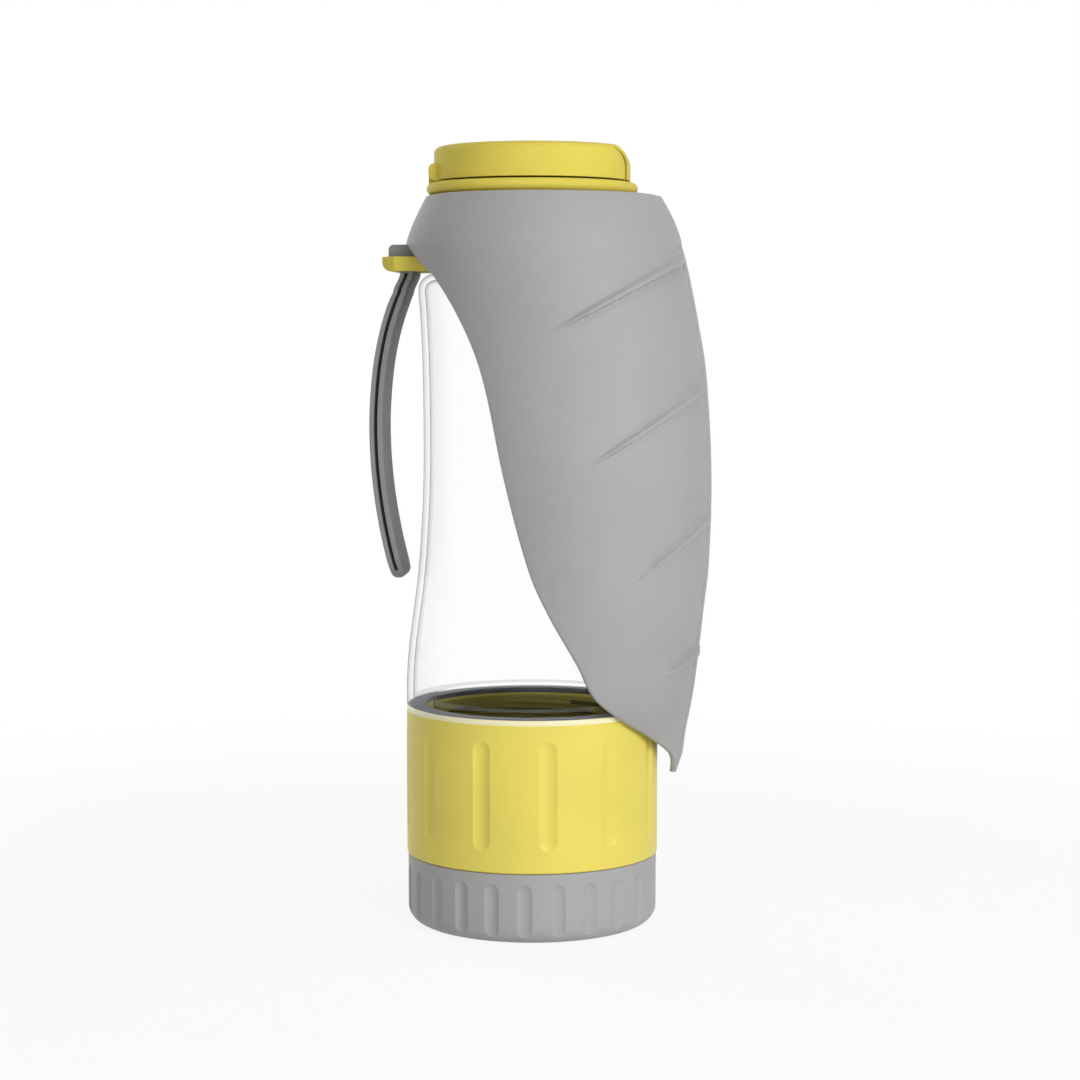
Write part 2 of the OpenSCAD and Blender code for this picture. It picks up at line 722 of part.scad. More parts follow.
// Sleeve of the leaf moulding, wider on the side of the midrib
module collar_solid(inset, from_z, to_z) {
    slice = 0.02;
    top_step = 2.9;
    top_r = flange_r + top_step;
    top_x = 2.5;
    low_r = leaf_section_r * leaf_shares[0][2];
    low_x = leaf_reach * leaf_shares[0][1] - low_r;
    full = flange_z - gap - collar_z;
    function share(z) = (z - collar_z) / full;
    function ring_at(z) = [low_x + (top_x - low_x) * share(z), low_r + (top_r - low_r) * share(z) - inset];
    hull() {
        for (z = [from_z, to_z - slice]) {
            translate([ring_at(z)[0], 0, z])
                cylinder(h = slice, r = ring_at(z)[1], $fn = facets);
        }
    }
}

module leaf_collar() {
    band_share = 0.35;
    band_h = collar_h * band_share;
    color(grey)
        difference() {
            collar_solid(0, collar_z, flange_z - gap);
            collar_solid(leaf_t, collar_z - gap, flange_z - gap - band_h);
            disc(skirt_r + fit, collar_h + 2 * cut, collar_z - cut);
            translate([leaf_hinge_x, spine_half_w + gap, leaf_hinge_z])
                rotate([90, 0, 0])
                    cylinder(h = 2 * spine_half_w + 2 * gap, r = leaf_relief_r, $fn = facets);
        }
}

module leaf_spine() {
    root_share = leaf_root_gap / leaf_len;
    rows = concat([root_share], [for (t = leaf_rows_shares) if (t > 2 * root_share) t], tip_rows_shares);
    half = [for (t = rows) min(spine_half_w, half_w(t))];
    midrib = [for (i = [len(rows) - 1 : -1 : 0])
        let (t = rows[i], narrow = half_w(t) / spine_half_w)
        [t, 0, min(midrib_w, half_w(t) * midrib_width_share), vein_h * min(1, narrow + midrib_end_share),
            0, 1]];
    color(grey) {
        leaf_panel(rows, -half, half, spine_columns);
        ridge(midrib, 1);
        for (side = [-1, 1]) {
            leaf_veins(midrib_w / 2, spine_half_w - vein_w / 4, side);
        }
        translate([leaf_hinge_x, spine_half_w * leaf_knuckle_share, leaf_hinge_z])
            rotate([90, 0, 0])
                cylinder(h = 2 * spine_half_w * leaf_knuckle_share, r = leaf_pin_r, $fn = facets);
    }
}

module leaf_lobe_near() {
    color(grey)
        leaf_lobe(-1);
}

module leaf_lobe_far() {
    color(grey)
        leaf_lobe(1);
}

base_cap();
base_seal();
food_container();
container_seal();
bottle();
cap_gasket();
screw_cap();
flow_insert();
insert_valve();
lid();
lid_pin();
lid_plug();
strap_ring();
strap_head();
strap_loop();
leaf_collar();
leaf_spine();
leaf_lobe_near();
leaf_lobe_far();
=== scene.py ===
from math import atan, cos, pi, radians, sin, sqrt

import bpy
from mathutils import Matrix, Vector


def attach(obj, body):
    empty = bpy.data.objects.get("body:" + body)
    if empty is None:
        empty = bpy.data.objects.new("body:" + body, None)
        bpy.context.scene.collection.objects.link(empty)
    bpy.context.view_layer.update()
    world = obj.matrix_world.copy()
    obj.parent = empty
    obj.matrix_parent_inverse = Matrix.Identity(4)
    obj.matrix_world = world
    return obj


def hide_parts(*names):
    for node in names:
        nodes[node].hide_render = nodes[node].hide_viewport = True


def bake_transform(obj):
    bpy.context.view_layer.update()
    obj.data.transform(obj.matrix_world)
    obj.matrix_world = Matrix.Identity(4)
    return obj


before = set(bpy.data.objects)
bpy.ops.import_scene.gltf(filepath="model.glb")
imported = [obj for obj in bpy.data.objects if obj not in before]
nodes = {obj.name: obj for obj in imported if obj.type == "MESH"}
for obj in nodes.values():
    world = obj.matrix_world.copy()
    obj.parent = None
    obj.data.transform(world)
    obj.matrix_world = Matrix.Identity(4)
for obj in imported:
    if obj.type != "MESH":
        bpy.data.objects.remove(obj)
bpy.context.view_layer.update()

mm = 0.001


# Small helpers for objects and selections

def deselectAll():
    bpy.ops.object.select_all(action="DESELECT")


def pick(obj):
    deselectAll()
    obj.select_set(True)
    bpy.context.view_layer.objects.active = obj


def named(name):
    obj = bpy.context.object
    obj.name = name
    obj.data.name = name
    return obj


def applyPlace(obj):
    pick(obj)
    bpy.ops.object.transform_apply(location=True, rotation=True, scale=True)


def addModifier(obj, kind, **settings):
    modifier = obj.modifiers.new(kind.title(), kind)
    for key, value in settings.items():
        setattr(modifier, key, value)
    pick(obj)
    bpy.ops.object.modifier_apply(modifier=modifier.name)


def smoothShade(obj, degrees=35):
    pick(obj)
    bpy.ops.object.shade_smooth_by_angle(angle=radians(degrees))


def editAll(obj, *steps):
    pick(obj)
    bpy.ops.object.mode_set(mode="EDIT")
    bpy.ops.mesh.select_all(action="SELECT")
    for step in steps:
        step()
    bpy.ops.object.mode_set(mode="OBJECT")


def mergeDoubles(distance=0.000002):
    bpy.ops.mesh.remove_doubles(threshold=distance)


def facesOutward():
    bpy.ops.mesh.normals_make_consistent(inside=False)


def closeOpenEdges(obj, close):
    pick(obj)
    bpy.ops.object.mode_set(mode="EDIT")
    bpy.ops.mesh.select_all(action="DESELECT")
    bpy.ops.mesh.select_non_manifold(extend=False, use_boundary=True, use_wire=False,
                                     use_multi_face=False, use_non_contiguous=False, use_verts=False)
    close()
    bpy.ops.mesh.select_all(action="SELECT")
    facesOutward()
    bpy.ops.object.mode_set(mode="OBJECT")


def joinAll(parts):
    deselectAll()
    for part in parts:
        part.select_set(True)
    bpy.context.view_layer.objects.active = parts[0]
    bpy.ops.object.join()
    return parts[0]


# A grid whose points are then placed one by one: points across, points along
def makeGrid(name, across, along):
    deselectAll()
    bpy.ops.mesh.primitive_grid_add(x_subdivisions=across, y_subdivisions=along, size=1, location=(0, 0, 0))
    return named(name)


# A closed outline of points in the plane across Y, filled or as a bare line
def makeOutline(name, points, y=0.0, filled=True):
    deselectAll()
    bpy.ops.mesh.primitive_circle_add(vertices=len(points), radius=1, location=(0, 0, 0),
                                      fill_type="NGON" if filled else "NOTHING")
    outline = named(name)
    for vertex, (x, z) in zip(outline.data.vertices, points):
        vertex.co = (x, y, z)
    return outline


def extrudeAlongY(obj, distance):
    editAll(obj, lambda: bpy.ops.mesh.extrude_region_move(TRANSFORM_OT_translate={"value": (0, distance, 0)}))
    editAll(obj, facesOutward)


# Camera and light first

camera = {"distance": 0.700, "height": 0.1626, "down": 4.541, "turn": 4.0,
          "lens": 83.65, "sensor": 36.0, "shiftX": 0.0072}


def makeCamera():
    turn = radians(camera["turn"])
    place = (camera["distance"] * sin(turn), -camera["distance"] * cos(turn), camera["height"])
    bpy.ops.object.camera_add(location=place, rotation=(radians(90 - camera["down"]), 0, turn))
    cam = bpy.context.object
    cam.name = "photoCamera"
    cam.data.lens = camera["lens"]
    cam.data.sensor_width = camera["sensor"]
    cam.data.shift_x = camera["shiftX"]
    cam.data.clip_start = 0.01
    bpy.context.scene.camera = cam


def aimAt(obj, target):
    obj.rotation_euler = (Vector(target) - obj.location).to_track_quat("-Z", "Y").to_euler()


lightTarget = (0, 0, 0.1)
lights = {
    "keyRight": {"place": (0.66, -0.80, 0.40), "size": 0.50, "power": 6.0},
    "fillFront": {"place": (0.10, -1.2, 0.25), "size": 0.9, "power": 1.6},
    "softTop": {"place": (0.15, -0.15, 1.1), "size": 0.7, "power": 1.0},
    "softBack": {"place": (-0.70, 0.75, 0.45), "size": 0.9, "power": 2.3},
}


def makeLights():
    for name, spec in lights.items():
        bpy.ops.object.light_add(type="AREA", location=spec["place"])
        lamp = bpy.context.object
        lamp.name = name
        lamp.data.shape = "DISK"
        lamp.data.size = spec["size"]
        lamp.data.energy = spec["power"]
        aimAt(lamp, lightTarget)


makeCamera()
makeLights()
print("camera and lights done")


# Materials: every one is procedural, on Object coordinates

def linear(value):
    return value / 12.92 if value <= 0.04045 else ((value + 0.055) / 1.055) ** 2.4


def shade(red, green, blue):
    return (linear(red), linear(green), linear(blue), 1.0)


def newMaterial(name):
    material = bpy.data.materials.new(name)
    material.use_nodes = True
    tree = material.node_tree
    shader = tree.nodes["Principled BSDF"]
    return material, tree, shader


def noiseTexture(tree, scale, detail=3.0, roughness=0.5, stretch=(1, 1, 1)):
    coords = tree.nodes.new("ShaderNodeTexCoord")
    mapping = tree.nodes.new("ShaderNodeMapping")
    mapping.inputs["Scale"].default_value = stretch
    noise = tree.nodes.new("ShaderNodeTexNoise")
    noise.inputs["Scale"].default_value = scale
    noise.inputs["Detail"].default_value = detail
    noise.inputs["Roughness"].default_value = roughness
    tree.links.new(coords.outputs["Object"], mapping.inputs["Vector"])
    tree.links.new(mapping.outputs["Vector"], noise.inputs["Vector"])
    return noise


def ramp(tree, source, stops):
    node = tree.nodes.new("ShaderNodeValToRGB")
    tree.links.new(source, node.inputs["Fac"])
    elements = node.color_ramp.elements
    while len(elements) < len(stops):
        elements.new(0.5)
    for element, (place, colour) in zip(elements, stops):
        element.position = place
        element.color = colour
    return node


# most values of a noise lie between these two
noiseSpan = (0.3, 0.7)


def spreadValue(tree, source, low, high):
    node = tree.nodes.new("ShaderNodeMapRange")
    node.inputs["From Min"].default_value = noiseSpan[0]
    node.inputs["From Max"].default_value = noiseSpan[1]
    node.inputs["To Min"].default_value = low
    node.inputs["To Max"].default_value = high
    tree.links.new(source, node.inputs["Value"])
    return node.outputs["Result"]


def surfaceBump(tree, shader, layers):
    last = None
    for source, strength, distance in layers:
        bump = tree.nodes.new("ShaderNodeBump")
        bump.inputs["Strength"].default_value = strength
        bump.inputs["Distance"].default_value = distance
        tree.links.new(source, bump.inputs["Height"])
        if last is not None:
            tree.links.new(last.outputs["Normal"], bump.inputs["Normal"])
        last = bump
    tree.links.new(last.outputs["Normal"], shader.inputs["Normal"])


# A colour that wanders between a darker and a lighter tone of itself
def cloudyColour(tree, shader, source, colour, darker, lighter, span=noiseSpan):
    tones = ramp(tree, source, [(span[0], tuple(c * darker for c in colour[:3]) + (1.0,)),
                                (span[1], tuple(min(1.0, c * lighter) for c in colour[:3]) + (1.0,))])
    tree.links.new(tones.outputs["Color"], shader.inputs["Base Color"])


plasticLook = {"clouds": 38, "darker": 0.955, "lighter": 1.025, "grain": 2600, "grainDepth": 0.00008,
               "wave": 60, "waveStrength": 0.10, "waveDepth": 0.0004, "ior": 1.49}


# Moulded plastic: faint cloudiness in the colour, satin grain, a slow wave from the mould
def mouldedPlastic(name, colour, grain=0.10, rough=(0.36, 0.46), coat=0.0, specular=0.32):
    material, tree, shader = newMaterial(name)
    look = plasticLook
    clouds = noiseTexture(tree, look["clouds"], 2.0).outputs["Fac"]
    cloudyColour(tree, shader, clouds, colour, look["darker"], look["lighter"])
    grains = noiseTexture(tree, look["grain"], 2.0, 0.6).outputs["Fac"]
    wave = noiseTexture(tree, look["wave"], 1.0).outputs["Fac"]
    tree.links.new(spreadValue(tree, grains, *rough), shader.inputs["Roughness"])
    surfaceBump(tree, shader, [(wave, look["waveStrength"], look["waveDepth"]), (grains, grain, look["grainDepth"])])
    shader.inputs["IOR"].default_value = look["ior"]
    shader.inputs["Specular IOR Level"].default_value = specular
    shader.inputs["Coat Weight"].default_value = coat
    return material


siliconeLook = {"clouds": 24, "cloudStrength": 0.08, "cloudDepth": 0.0006, "dust": 420, "dustShare": 0.35,
                "span": (0.35, 0.65), "darker": 0.94, "lighter": 1.04, "peel": 1500, "peelStrength": 0.12,
                "peelDepth": 0.00006, "ior": 1.41, "sheenRoughness": 0.45}


# Silicone: powdery, a little dust in the tone, very fine orange peel
def silicone(name, colour, rough=(0.56, 0.68), sheen=0.12):
    material, tree, shader = newMaterial(name)
    look = siliconeLook
    clouds = noiseTexture(tree, look["clouds"], 3.0).outputs["Fac"]
    dust = noiseTexture(tree, look["dust"], 4.0, 0.65).outputs["Fac"]
    mix = tree.nodes.new("ShaderNodeMix")
    mix.data_type = "FLOAT"
    mix.inputs["Factor"].default_value = look["dustShare"]
    tree.links.new(clouds, mix.inputs["A"])
    tree.links.new(dust, mix.inputs["B"])
    cloudyColour(tree, shader, mix.outputs["Result"], colour, look["darker"], look["lighter"], look["span"])
    peel = noiseTexture(tree, look["peel"], 2.0, 0.5).outputs["Fac"]
    tree.links.new(spreadValue(tree, dust, *rough), shader.inputs["Roughness"])
    surfaceBump(tree, shader, [(clouds, look["cloudStrength"], look["cloudDepth"]),
                               (peel, look["peelStrength"], look["peelDepth"])])
    shader.inputs["IOR"].default_value = look["ior"]
    shader.inputs["Sheen Weight"].default_value = sheen
    shader.inputs["Sheen Roughness"].default_value = look["sheenRoughness"]
    return material


# Tints from a wall seen straight to one seen edge on; below these heights the spigot is tinted a darker olive grey,
# which is painted shade for the dim inside of the closed container seen through it
clearLook = {"haze": (0.01, 0.03), "hazeScale": 90, "ripple": 26, "rippleStrength": 0.05, "rippleDepth": 0.0003,
             "tints": [(0.30, (0.99, 0.995, 0.995, 1)), (0.70, (0.93, 0.94, 0.94, 1)),
                       (0.84, (0.68, 0.69, 0.69, 1)), (0.95, (0.17, 0.18, 0.18, 1))],
             "insideShadeTo": 59 * mm, "clearFrom": 60 * mm, "insideShade": (0.55, 0.54, 0.45, 1),
             "ior": 1.002, "coat": 0.12, "coatRoughness": 0.05}


# Clear plastic: hardly bends what lies behind it, each of its two surfaces has a thin grey outline
def clearPlastic(name):
    material, tree, shader = newMaterial(name)
    look = clearLook
    haze = noiseTexture(tree, look["hazeScale"], 3.0).outputs["Fac"]
    tree.links.new(spreadValue(tree, haze, *look["haze"]), shader.inputs["Roughness"])
    ripple = noiseTexture(tree, look["ripple"], 1.0).outputs["Fac"]
    surfaceBump(tree, shader, [(ripple, look["rippleStrength"], look["rippleDepth"])])
    rim = tree.nodes.new("ShaderNodeLayerWeight")
    rim.inputs["Blend"].default_value = 0.5
    tints = ramp(tree, rim.outputs["Facing"], look["tints"])
    coords = tree.nodes.new("ShaderNodeTexCoord")
    axes = tree.nodes.new("ShaderNodeSeparateXYZ")
    # below these heights the colour turns darker: painted shade for the dim inside of the closed container seen
    # through the foot
    above = tree.nodes.new("ShaderNodeMapRange")
    above.inputs["From Min"].default_value = look["insideShadeTo"]
    above.inputs["From Max"].default_value = look["clearFrom"]
    tree.links.new(coords.outputs["Object"], axes.inputs["Vector"])
    tree.links.new(axes.outputs["Z"], above.inputs["Value"])
    mix = tree.nodes.new("ShaderNodeMix")
    mix.data_type = "RGBA"
    mix.inputs["A"].default_value = look["insideShade"]
    tree.links.new(above.outputs["Result"], mix.inputs["Factor"])
    tree.links.new(tints.outputs["Color"], mix.inputs["B"])
    tree.links.new(mix.outputs["Result"], shader.inputs["Base Color"])
    shader.inputs["Transmission Weight"].default_value = 1.0
    shader.inputs["IOR"].default_value = look["ior"]
    shader.inputs["Coat Weight"].default_value = look["coat"]
    shader.inputs["Coat Roughness"].default_value = look["coatRoughness"]
    return material


steelLook = {"lines": 900, "stretch": (1, 0.05, 1), "rough": (0.22, 0.38), "strength": 0.15, "depth": 0.00005,
             "tones": ((0.5, 0.5, 0.51, 1), (0.66, 0.66, 0.67, 1))}


# Steel with fine lines along the pin
def drawnSteel(name):
    material, tree, shader = newMaterial(name)
    lines = noiseTexture(tree, steelLook["lines"], 3.0, 0.6, steelLook["stretch"]).outputs["Fac"]
    tree.links.new(spreadValue(tree, lines, *steelLook["rough"]), shader.inputs["Roughness"])
    tones = ramp(tree, lines, list(zip(noiseSpan, steelLook["tones"])))
    tree.links.new(tones.outputs["Color"], shader.inputs["Base Color"])
    surfaceBump(tree, shader, [(lines, steelLook["strength"], steelLook["depth"])])
    shader.inputs["Metallic"].default_value = 1.0
    return material


yellowPlastic = mouldedPlastic("yellowPlastic", shade(0.915, 0.848, 0.385))
deepYellow = mouldedPlastic("deepYellow", shade(0.882, 0.812, 0.355), 0.10, (0.50, 0.60), 0.0, 0.08)
greyPlastic = mouldedPlastic("greyPlastic", shade(0.665, 0.665, 0.665), 0.12, (0.44, 0.54))
darkPlastic = mouldedPlastic("darkPlastic", shade(0.45, 0.455, 0.46), 0.10, (0.40, 0.50))
greySilicone = silicone("greySilicone", shade(0.648, 0.648, 0.648))
strapSilicone = silicone("strapSilicone", shade(0.535, 0.535, 0.535))
darkSilicone = silicone("darkSilicone", shade(0.36, 0.365, 0.37), (0.45, 0.55), 0.05)
clearBottle = clearPlastic("clearBottle")
# glossy rim: its gloss catches real light, and its pale cream colour is a painted highlight for the light line along
# the rim
rimPaintedHighlight = mouldedPlastic("rimPaintedHighlight", shade(0.97, 0.945, 0.78), 0.05, (0.22, 0.30), 0.3)
pinSteel = drawnSteel("pinSteel")

finishes = {
    "base_cap": greyPlastic, "base_seal": darkSilicone, "food_container": yellowPlastic,
    "container_seal": darkSilicone, "bottle": clearBottle, "cap_gasket": darkSilicone,
    "screw_cap": deepYellow, "flow_insert": darkPlastic, "insert_valve": darkSilicone,
    "lid": deepYellow, "lid_pin": pinSteel, "lid_plug": darkSilicone, "strap_ring": deepYellow,
    "strap_head": greySilicone, "strap_loop": greySilicone, "leaf_collar": greySilicone,
    "leaf_spine": greySilicone, "leaf_lobe_near": greySilicone, "leaf_lobe_far": greySilicone,
}


def dress(obj, material):
    obj.data.materials.clear()
    obj.data.materials.append(material)


for nodeName, material in finishes.items():
    dress(nodes[nodeName], material)
print("materials done")


# The silicone leaf: the same surface as the solid, with a smooth skin, veins and a rounded edge

leaf = {
    "topZ": 188.6 * mm, "length": 146.5 * mm, "reach": 49.1 * mm, "sectionR": 38.4 * mm,
    "halfW": 96 * mm, "thick": 1.5 * mm, "rows": 380, "outerColumns": 200, "edgeColumns": 8,
    "innerColumns": 24, "tipCrowd": 1.08,
}
# shares of the length down from the collar, of the reach, of the section's radius and of the half width
leafShares = [
    (0, 0.827, 0.984, 1.13), (0.03, 0.852, 0.985, 1.06), (0.06, 0.873, 0.987, 0.985),
    (0.14, 0.92, 0.997, 0.905), (0.24, 0.968, 1, 0.857), (0.43, 1, 0.984, 0.8),
    (0.6, 0.988, 0.95, 0.709), (0.68, 0.962, 0.925, 0.632), (0.77, 0.932, 0.886, 0.529),
    (0.83, 0.91, 0.862, 0.466), (0.87, 0.89, 0.789, 0.372), (0.92, 0.861, 0.583, 0.205),
    (0.96, 0.845, 0.39, 0.080), (1, 0.817, 0.27, 0.0125)]
veinForm = {
    "height": 1.75 * mm, "width": 4.0 * mm, "straight": 0.8, "narrowing": 0.72,
    # steps and dips across a vein, as shares of its width
    "upperFoot": -0.58, "upperEdge": -0.20, "lowerEdge": 0.18, "lowerFoot": 0.46, "dipReach": 1.3,
    "upperDip": 0.16, "upperDipEnd": -0.30, "lowerDip": 0.32, "lowerDipFrom": 0.20,
    # height at the midrib, rise from there, fall along the vein and start of its run-out
    "atMidrib": 0.5, "riseFrom": 0.02, "fullAt": 0.26, "fall": 0.3, "runOut": 0.8,
}
# start and end as shares of the length, reach as a share of the half width
veins = [(0.022, 0.1685, 0.72), (0.259, 0.41, 0.7), (0.507, 0.619, 0.595), (0.7645, 0.799, 0.5)]


def share(column, t):
    last = len(leafShares) - 2
    i = 0
    while i < last and t >= leafShares[i + 1][0]:
        i += 1

    def slope(k):
        a, b = max(k - 1, 0), min(k + 1, len(leafShares) - 1)
        return (leafShares[b][column] - leafShares[a][column]) / (leafShares[b][0] - leafShares[a][0])

    h = leafShares[i + 1][0] - leafShares[i][0]
    u = (t - leafShares[i][0]) / h
    return ((2 * u ** 3 - 3 * u ** 2 + 1) * leafShares[i][column] + (u ** 3 - 2 * u ** 2 + u) * h * slope(i)
            + (3 * u ** 2 - 2 * u ** 3) * leafShares[i + 1][column] + (u ** 3 - u ** 2) * h * slope(i + 1))


def leafPoint(t, s, out):
    r = leaf["sectionR"] * share(2, t)
    a = s / r
    x = leaf["reach"] * share(1, t) - r
    return Vector((x + (r + out) * cos(a), (r + out) * sin(a), leaf["topZ"] - leaf["length"] * t))


def edgeS(t):
    return leaf["halfW"] * share(3, t)


def smoothStep(low, high, value):
    u = min(1.0, max(0.0, (value - low) / (high - low)))
    return u * u * (3 - 2 * u)


# Height of the veins over the sheet: a flat crown between two crisp steps, with a shallow dip along each
def veinHeight(t, s):
    form, high = veinForm, 0.0
    z = t * leaf["length"]
    for start, end, reach in veins:
        reachS = edgeS(end) * reach
        u = abs(s) / reachS
        if u >= 1.0:
            continue
        # the vein falls with the depth of the rounded sheet, so that it looks straight from the side
        endA = reachS / (leaf["sectionR"] * share(2, end))
        roundU = (1 - cos(endA * u)) / (1 - cos(endA))
        fall = u + (roundU - u) * form["straight"]
        steep = (1 - form["straight"]) + form["straight"] * endA * sin(endA * u) / (1 - cos(endA))
        z0, z1 = start * leaf["length"], end * leaf["length"]
        slant = (z1 - z0) / reachS * steep
        width = form["width"] * (1 - form["narrowing"] * u)
        across = (z - (z0 + (z1 - z0) * fall)) / sqrt(1 + slant * slant) / width
        crown = smoothStep(form["upperFoot"], form["upperEdge"], across)
        crown *= 1 - smoothStep(form["lowerEdge"], form["lowerFoot"], across)
        upper = smoothStep(-form["dipReach"], form["upperFoot"], across)
        upper *= 1 - smoothStep(form["upperFoot"], form["upperDipEnd"], across)
        lower = smoothStep(form["lowerDipFrom"], form["lowerFoot"], across)
        lower *= 1 - smoothStep(form["lowerFoot"], form["dipReach"], across)
        fade = form["atMidrib"] + (1 - form["atMidrib"]) * smoothStep(form["riseFrom"], form["fullAt"], u)
        fade *= (1 - form["fall"] * u) * (1 - smoothStep(form["runOut"], 1.0, u))
        high += form["height"] * fade * (crown - form["upperDip"] * upper - form["lowerDip"] * lower)
    return high


def leafSkin(name, side):
    rows, outer, edge, inner = (leaf[k] for k in ("rows", "outerColumns", "edgeColumns", "innerColumns"))
    columns = outer + edge + inner
    skin = makeGrid(name, columns, rows)
    for vertex in skin.data.vertices:
        column = round((vertex.co.x + 0.5) * columns)
        t = min(1.0, max(0.0, vertex.co.y + 0.5))
        t = 1 - (1 - t) ** leaf["tipCrowd"]
        width = edgeS(t)
        half = min(leaf["thick"], width) / 2
        if column <= outer:
            s = (width - half) * column / outer
            out = veinHeight(t, s)
        elif column < outer + edge:
            turn = pi * (column - outer) / edge
            s = width - half + half * sin(turn)
            out = -half + half * cos(turn)
        else:
            s = (width - half) * (1 - (column - outer - edge) / inner)
            out = -2 * half
        vertex.co = leafPoint(t, side * s, out)
    editAll(skin, mergeDoubles)
    closeOpenEdges(skin, bpy.ops.mesh.fill)
    smoothShade(skin, 50)
    dress(skin, greySilicone)
    return skin


leafNear = leafSkin("leafNear", -1)
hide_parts("leaf_lobe_near")
leafFar = leafSkin("leafFar", 1)
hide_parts("leaf_lobe_far")
print("leaf lobes done")


# Midrib: a low rounded ridge from the collar to the tip
midrib = {
    "width": 3.4 * mm, "height": 0.85 * mm, "depth": 0.9 * mm, "roundness": 0.55, "rows": 160, "columns": 14,
    # at the tip it narrows with the leaf and keeps a share of its height
    "shareOfLeaf": 1.6, "fullFrom": 10 * mm, "tipHeight": 0.3,
}


def makeMidrib():
    ridge = makeGrid("leafMidrib", midrib["columns"], midrib["rows"])
    for vertex in ridge.data.vertices:
        turn = 2 * pi * (vertex.co.x + 0.5)
        t = min(1.0, max(0.0, vertex.co.y + 0.5))
        width = min(midrib["width"], edgeS(t) * midrib["shareOfLeaf"]) / 2
        high = midrib["height"] * min(1.0, edgeS(t) / midrib["fullFrom"] + midrib["tipHeight"])
        above = sin(turn) > 0
        lift = high * sin(turn) ** midrib["roundness"] if above else midrib["depth"] * sin(turn)
        vertex.co = leafPoint(t, width * cos(turn), lift)
    editAll(ridge, mergeDoubles)
    closeOpenEdges(ridge, bpy.ops.mesh.fill)
    smoothShade(ridge, 60)
    dress(ridge, greySilicone)
    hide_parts("leaf_spine")
    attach(ridge, "leaf")


makeMidrib()
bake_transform(leafNear)
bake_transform(leafFar)
print("midrib done")


# Collar: the sleeve of the same moulding that grips the cap
collar = {
    "topZ": 202.4 * mm, "topX": 2.75 * mm, "topR": 31.95 * mm, "holeR": 27.7 * mm, "bandH": 4.7 * mm,
    "around": 288, "up": 28, "lipSteps": 6, "downSteps": 12, "bandShare": 0.34,
    "lip": 0.5 * mm, "crowd": 0.75, "power": 1.35, "strapSide": 0.25, "leafSide": -0.15, "ribRound": 0.3,
    "strapSpan": (-1.0, -0.35), "leafSpan": (0.5, 1.0), "widening": 0.5, "merge": 0.00001,
}


def makeCollar():
    around, up, lipSteps, downSteps = (collar[k] for k in ("around", "up", "lipSteps", "downSteps"))
    columns = up + lipSteps + downSteps
    sleeve = makeGrid("leafCollar", around, columns)
    lowR, lowZ = leaf["sectionR"] * leafShares[0][2], leaf["topZ"]
    lowX = leaf["reach"] * leafShares[0][1] - lowR
    lip, topZ, holeR = collar["lip"], collar["topZ"], collar["holeR"]
    for vertex in sleeve.data.vertices:
        evenly = 2 * pi * (vertex.co.x + 0.5)
        angle = evenly - collar["crowd"] * sin(evenly)
        row = round((vertex.co.y + 0.5) * columns)
        facing = cos(angle)
        # the slope differs towards the strap and towards the leaf
        power = collar["power"] + collar["strapSide"] * smoothStep(*collar["strapSpan"], facing)
        power += collar["leafSide"] * smoothStep(*collar["leafSpan"], facing)
        fromRib = abs((angle + pi) % (2 * pi) - pi) * lowR / (midrib["width"] / 2)
        rib = midrib["height"] * max(0.0, 1 - fromRib ** 2) ** collar["ribRound"]

        def outside(height, inset=0.0):
            c = max(0.0, (height - lowZ) / (topZ - lowZ)) ** power
            r = lowR + (collar["topR"] - lowR) * c - inset
            if inset < lip:
                r += rib
            return Vector((lowX + (collar["topX"] - lowX) * c + r * facing, r * sin(angle), height))

        if row <= up:
            vertex.co = outside(lowZ + (topZ - lip - lowZ) * row / up)
        elif row <= up + lipSteps:
            turn = pi / 2 * (row - up) / lipSteps
            vertex.co = outside(topZ - lip + lip * sin(turn), lip * (1 - cos(turn)))
        else:
            # down the inside: first the tight band round the cap, then wider to the leaf's inner face
            k = (row - up - lipSteps) / downSteps
            bandShare, bandFoot = collar["bandShare"], topZ - collar["bandH"]
            z = topZ - collar["bandH"] * k / bandShare
            u = (k - bandShare) / (1 - bandShare)
            if u >= 0:
                z = bandFoot + (lowZ - bandFoot) * u
            tight = Vector((holeR * facing, holeR * sin(angle), z))
            wide = smoothStep(0, collar["widening"], u)
            vertex.co = tight.lerp(outside(z, leaf["thick"]), wide) if u >= 0 else tight
    editAll(sleeve, lambda: mergeDoubles(collar["merge"]))
    closeOpenEdges(sleeve, bpy.ops.mesh.bridge_edge_loops)
    smoothShade(sleeve, 50)
    dress(sleeve, greySilicone)
    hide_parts("leaf_collar")
    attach(sleeve, "cap")


makeCollar()
print("collar done")


# Moulded pieces with softened edges: a merged copy of the solid, its flat faces joined, its edges rounded
softEdges = [
    # solid, piece, body, slot, edge radius in mm
    ("lid", "flipLid", "lid", "yellow_plastic", 0.35),
    ("strap_ring", "strapRing", "cap", "yellow_plastic", 0.3),
]
edgeRounding = {"flatTo": 0.6, "sharpFrom": 34, "steps": 3}


# Fine groove that follows the lip's round on both flanks of the lid
lipGroove = {"centreX": 20.65 * mm, "centreZ": 209.85 * mm, "inner": 5.25 * mm, "outer": 5.65 * mm,
             "low": 205 * mm, "halfWidth": 30 * mm, "floorR": 26.75 * mm, "coreHeight": 40 * mm,
             "coreSides": 192, "steps": 20}


